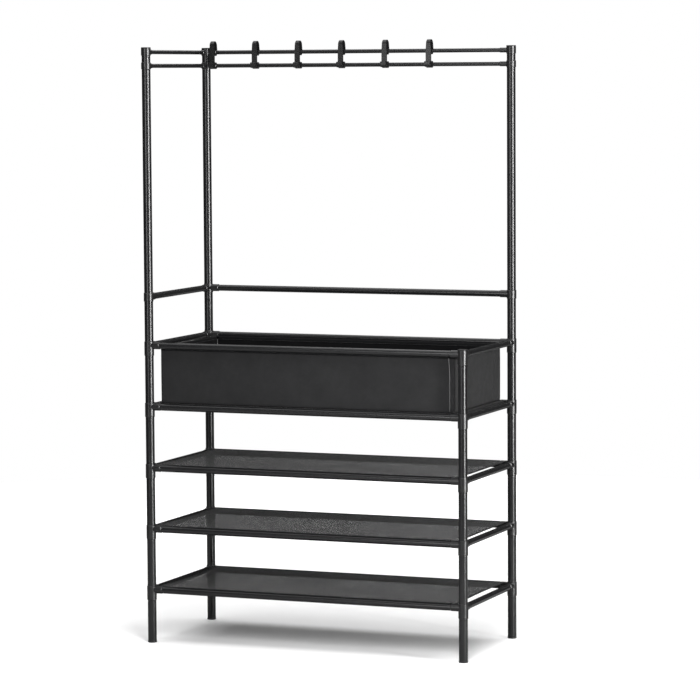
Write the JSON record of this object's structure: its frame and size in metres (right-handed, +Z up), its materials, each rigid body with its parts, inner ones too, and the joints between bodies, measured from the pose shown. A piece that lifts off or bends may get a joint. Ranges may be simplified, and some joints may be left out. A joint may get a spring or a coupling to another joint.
{
  "type": "hall tree with hooks",
  "caption": "Black tube hall tree with mesh shoe shelves, a lift-out fabric bin under a guard rail, and clip-on coat hooks on a double rail.",
  "frame": {"origin": "centre of the floor footprint, on the floor", "axes": "+X to the right side (the short post's side), -Y to the front, +Z up"},
  "size_m": [0.8644, 0.3904, 1.523],
  "materials": {
    "tube_enamel": "semi-gloss black powder coat on steel tube",
    "connector_plastic": "satin moulded black plastic",
    "hook_plastic": "satin moulded black plastic",
    "shelf_mesh": "fine open black polyester mesh",
    "panel_fabric": "close-woven black polyester",
    "bin_fabric": "smooth matte black polyester",
    "bin_board": "grey fibreboard"
  },
  "bodies": {
    "frame": {"foot_caps": "connector_plastic", "leg_tubes": "tube_enamel", "post_tubes_1_2": "tube_enamel", "post_tubes_2_3": "tube_enamel", "post_tubes_3_4": "tube_enamel", "post_tubes_4_5": "tube_enamel", "post_tubes_5_6": "tube_enamel", "upper_post_tubes": "tube_enamel", "post_caps": "connector_plastic", "connectors_level_1": "connector_plastic", "connectors_level_2": "connector_plastic", "connectors_level_3": "connector_plastic", "connectors_level_4": "connector_plastic", "connectors_level_5": "connector_plastic", "guard_connectors": "connector_plastic", "lower_hook_rail_connectors": "connector_plastic", "upper_hook_rail_connectors": "connector_plastic", "front_rail_1": "tube_enamel", "front_rail_2": "tube_enamel", "front_rail_3": "tube_enamel", "front_rail_4": "tube_enamel", "front_rail_5": "tube_enamel", "rear_rail_1": "tube_enamel", "rear_rail_2": "tube_enamel", "rear_rail_3": "tube_enamel", "rear_rail_4": "tube_enamel", "rear_rail_5": "tube_enamel", "left_rail_1": "tube_enamel", "left_rail_2": "tube_enamel", "left_rail_3": "tube_enamel", "left_rail_4": "tube_enamel", "left_rail_5": "tube_enamel", "right_rail_1": "tube_enamel", "right_rail_2": "tube_enamel", "right_rail_3": "tube_enamel", "right_rail_4": "tube_enamel", "right_rail_5": "tube_enamel", "guard_rail_rear": "tube_enamel", "guard_rail_left": "tube_enamel", "hook_rail_rear_lower": "tube_enamel", "hook_rail_rear_upper": "tube_enamel", "hook_rail_left_lower": "tube_enamel", "hook_rail_left_upper": "tube_enamel", "mesh_shelf_1": "shelf_mesh", "mesh_shelf_2": "shelf_mesh", "mesh_shelf_3": "shelf_mesh", "shelf_panel": "panel_fabric"},
    "bin": {"bin_cover": "bin_fabric", "bin_wall_boards": "bin_board", "bin_lining": "bin_fabric", "bin_base_board": "bin_board", "bin_rim_binding": "bin_fabric"},
    "hook_1": {"hook_1": "hook_plastic"},
    "hook_2": {"hook_2": "hook_plastic"},
    "hook_3": {"hook_3": "hook_plastic"},
    "hook_4": {"hook_4": "hook_plastic"},
    "hook_5": {"hook_5": "hook_plastic"},
    "hook_6": {"hook_6": "hook_plastic"}
  },
  "joints": [
    {"name": "bin_lift", "type": "slide", "parent": "frame", "child": "bin", "axis": [0, 0, 1], "range_m": [0, 0.165]},
    {"name": "hook_1_slide", "type": "slide", "parent": "frame", "child": "hook_1", "axis": [1, 0, 0], "range_m": [0, 0.05]},
    {"name": "hook_2_slide", "type": "slide", "parent": "frame", "child": "hook_2", "axis": [1, 0, 0], "range_m": [-0.05, 0.05]},
    {"name": "hook_3_slide", "type": "slide", "parent": "frame", "child": "hook_3", "axis": [1, 0, 0], "range_m": [-0.05, 0.05]},
    {"name": "hook_4_slide", "type": "slide", "parent": "frame", "child": "hook_4", "axis": [1, 0, 0], "range_m": [-0.05, 0.05]},
    {"name": "hook_5_slide", "type": "slide", "parent": "frame", "child": "hook_5", "axis": [1, 0, 0], "range_m": [-0.05, 0.05]},
    {"name": "hook_6_slide", "type": "slide", "parent": "frame", "child": "hook_6", "axis": [1, 0, 0], "range_m": [-0.05, 0.198]}
  ]
}
